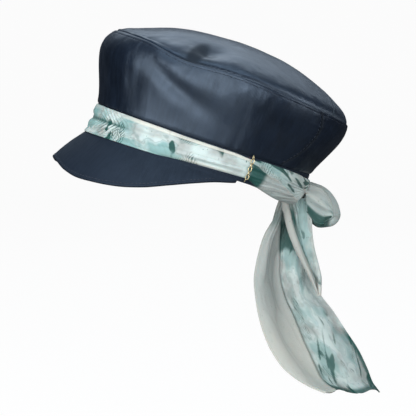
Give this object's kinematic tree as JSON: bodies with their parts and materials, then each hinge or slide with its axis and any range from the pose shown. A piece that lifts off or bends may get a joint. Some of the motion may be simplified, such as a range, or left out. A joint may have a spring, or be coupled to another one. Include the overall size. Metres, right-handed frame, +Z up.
{
  "type": "sailor cap with scarf band",
  "caption": "Soft flat-crowned sailor cap with an arched peak, short side chains and a scarf wound round the band and knotted behind, its free ends hanging.",
  "frame": {"origin": "middle of the head opening, level with the underside of the band at its centre; the cap is held up there by the head it sits on", "axes": "+Z up, -Y the way the wearer faces, +X the wearer's left; the cap is stored as worn, tipped back 19 degrees about X"},
  "size_m": [0.2012, 0.3102, 0.3439],
  "materials": {
    "navy_satin": "soft sheen",
    "scarf_print": "matt chiffon",
    "chain_gold": "polished"
  },
  "bodies": {
    "root": {"head_band": "navy_satin", "crown_side": "navy_satin", "crown_back": "navy_satin", "crown_top": "navy_satin", "crown_top_back": "navy_satin", "peak": "navy_satin", "scarf_band": "scarf_print", "scarf_knot": "scarf_print", "scarf_loop": "scarf_print", "scarf_tail_long": "scarf_print", "scarf_tail_short": "scarf_print", "chain_left": "chain_gold", "chain_right": "chain_gold"}
  },
  "joints": []
}
